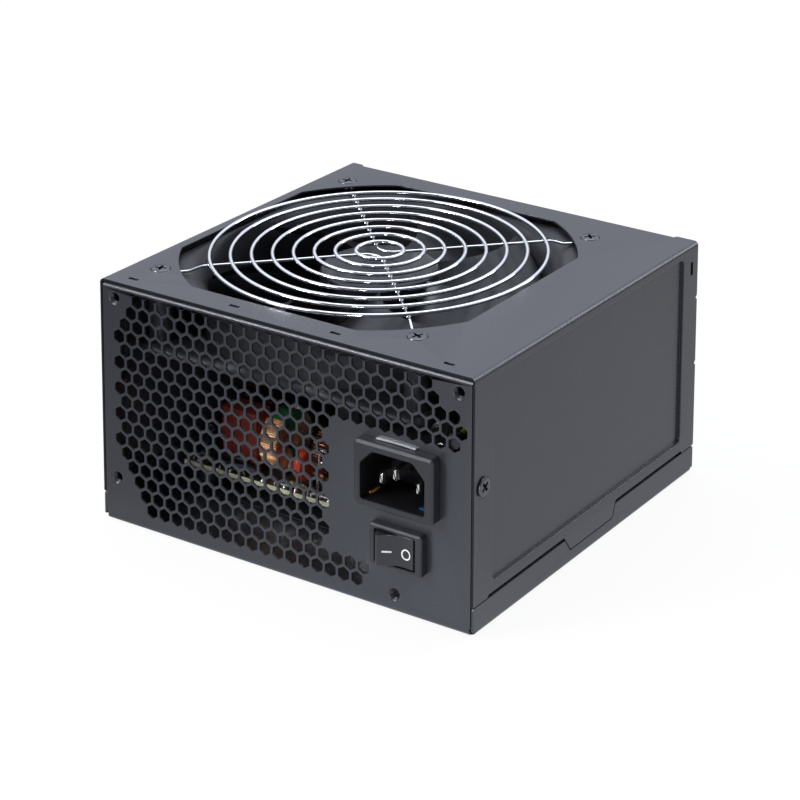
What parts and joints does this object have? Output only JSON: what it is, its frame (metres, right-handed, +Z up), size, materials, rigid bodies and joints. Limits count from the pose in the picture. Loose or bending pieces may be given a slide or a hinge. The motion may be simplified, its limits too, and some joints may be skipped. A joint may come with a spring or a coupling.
{
  "type": "desktop power supply unit",
  "caption": "ATX desktop power supply: folded steel case, honeycomb rear panel, mains inlet, rocker switch, top fan under a wire grille, modular output sockets.",
  "frame": {"origin": "centre of the case's bottom face", "axes": "+X to the right when looking at the rear panel (side with the cover screw), -Y out of the rear panel with the mains inlet, +Y out of the front panel with the output sockets, +Z up out of the fan grille"},
  "size_m": [0.1516, 0.1468, 0.0876],
  "materials": {
    "case_coating": "fine satin powder coat on 0.8 mm folded steel",
    "chrome_wire": "bright plated steel wire and spring strip",
    "fan_plastic": "moulded black fan frame",
    "impeller_plastic": "glossy black moulded blades",
    "black_plastic": "moulded black connector plastic",
    "rocker_plastic": "satin black rocker",
    "contact_metal": "bright plated contact blades",
    "dark_screw": "black zinc screws with cross recess",
    "bright_screw": "zinc-plated steel",
    "bearing_brass": "sintered sleeve",
    "magnet": "bonded ferrite ring",
    "winding": "enamelled copper winding",
    "dark_winding": "dark enamelled copper winding",
    "board_tan": "tan laminate circuit board",
    "board_green": "green laminate circuit board",
    "insulator": "thin insulating film",
    "heatsink_aluminium": "extruded aluminium",
    "capacitor_sleeve": "shrink sleeve",
    "film_capacitor": "dark red resin case",
    "transformer_core": "ferrite core with taped winding",
    "transformer_tape": "yellow tape",
    "epoxy_black": "moulded epoxy",
    "fuse_body": "ceramic tube",
    "live_insulation": "brown insulation",
    "neutral_insulation": "blue insulation",
    "earth_insulation": "green insulation",
    "black_insulation": "black insulation"
  },
  "bodies": {
    "root": {"base_chassis": "case_coating", "bridge_rectifier": "epoxy_black", "bulk_capacitor": "capacitor_sleeve", "common_mode_choke_1": "winding", "common_mode_choke_2": "dark_winding", "cover_screw_left": "dark_screw", "cover_screw_right": "dark_screw", "earth_wire": "earth_insulation", "fan_bearing": "bearing_brass", "fan_frame": "fan_plastic", "fan_grille": "chrome_wire", "fan_lead": "black_insulation", "fan_screw_1": "dark_screw", "fan_screw_2": "dark_screw", "fan_screw_3": "dark_screw", "fan_screw_4": "dark_screw", "fan_stator": "winding", "inlet_housing": "black_plastic", "inlet_pin_earth": "contact_metal", "inlet_pin_live": "contact_metal", "inlet_pin_neutral": "contact_metal", "inlet_spring_clip": "chrome_wire", "insulator_sheet": "insulator", "live_wire": "live_insulation", "main_pcb": "board_tan", "main_transformer": "transformer_core", "mains_fuse": "fuse_body", "modular_board": "board_green", "neutral_wire": "neutral_insulation", "output_capacitor_1": "capacitor_sleeve", "output_capacitor_2": "capacitor_sleeve", "output_inductor": "winding", "output_socket_24pin": "black_plastic", "output_socket_6pin_1": "black_plastic", "output_socket_6pin_2": "black_plastic", "output_socket_8pin_1": "black_plastic", "output_socket_8pin_2": "black_plastic", "output_socket_8pin_3": "black_plastic", "output_socket_8pin_4": "black_plastic", "pcb_screw_1": "bright_screw", "pcb_screw_2": "bright_screw", "pcb_screw_3": "bright_screw", "pcb_screw_4": "bright_screw", "pfc_inductor": "winding", "primary_heatsink": "heatsink_aluminium", "secondary_heatsink": "heatsink_aluminium", "standby_transformer": "transformer_tape", "supervisor_board": "board_green", "switch_housing": "black_plastic", "switch_terminal_1": "contact_metal", "switch_terminal_2": "contact_metal", "top_cover": "case_coating", "x_capacitor": "film_capacitor"},
    "fan_rotor": {"fan_impeller": "impeller_plastic", "fan_magnet_ring": "magnet", "fan_shaft": "bright_screw"},
    "rocker": {"switch_rocker": "rocker_plastic"}
  },
  "joints": [
    {"name": "fan_spin", "type": "hinge", "parent": "root", "child": "fan_rotor", "pos_m": [-0.0112, 0, 0.07], "axis": [0, 0, 1], "continuous": true},
    {"name": "rocker_tilt", "type": "hinge", "parent": "root", "child": "rocker", "pos_m": [0.04725, -0.0706, 0.02315], "axis": [0, 0, -1], "range_deg": [0, 30]}
  ]
}
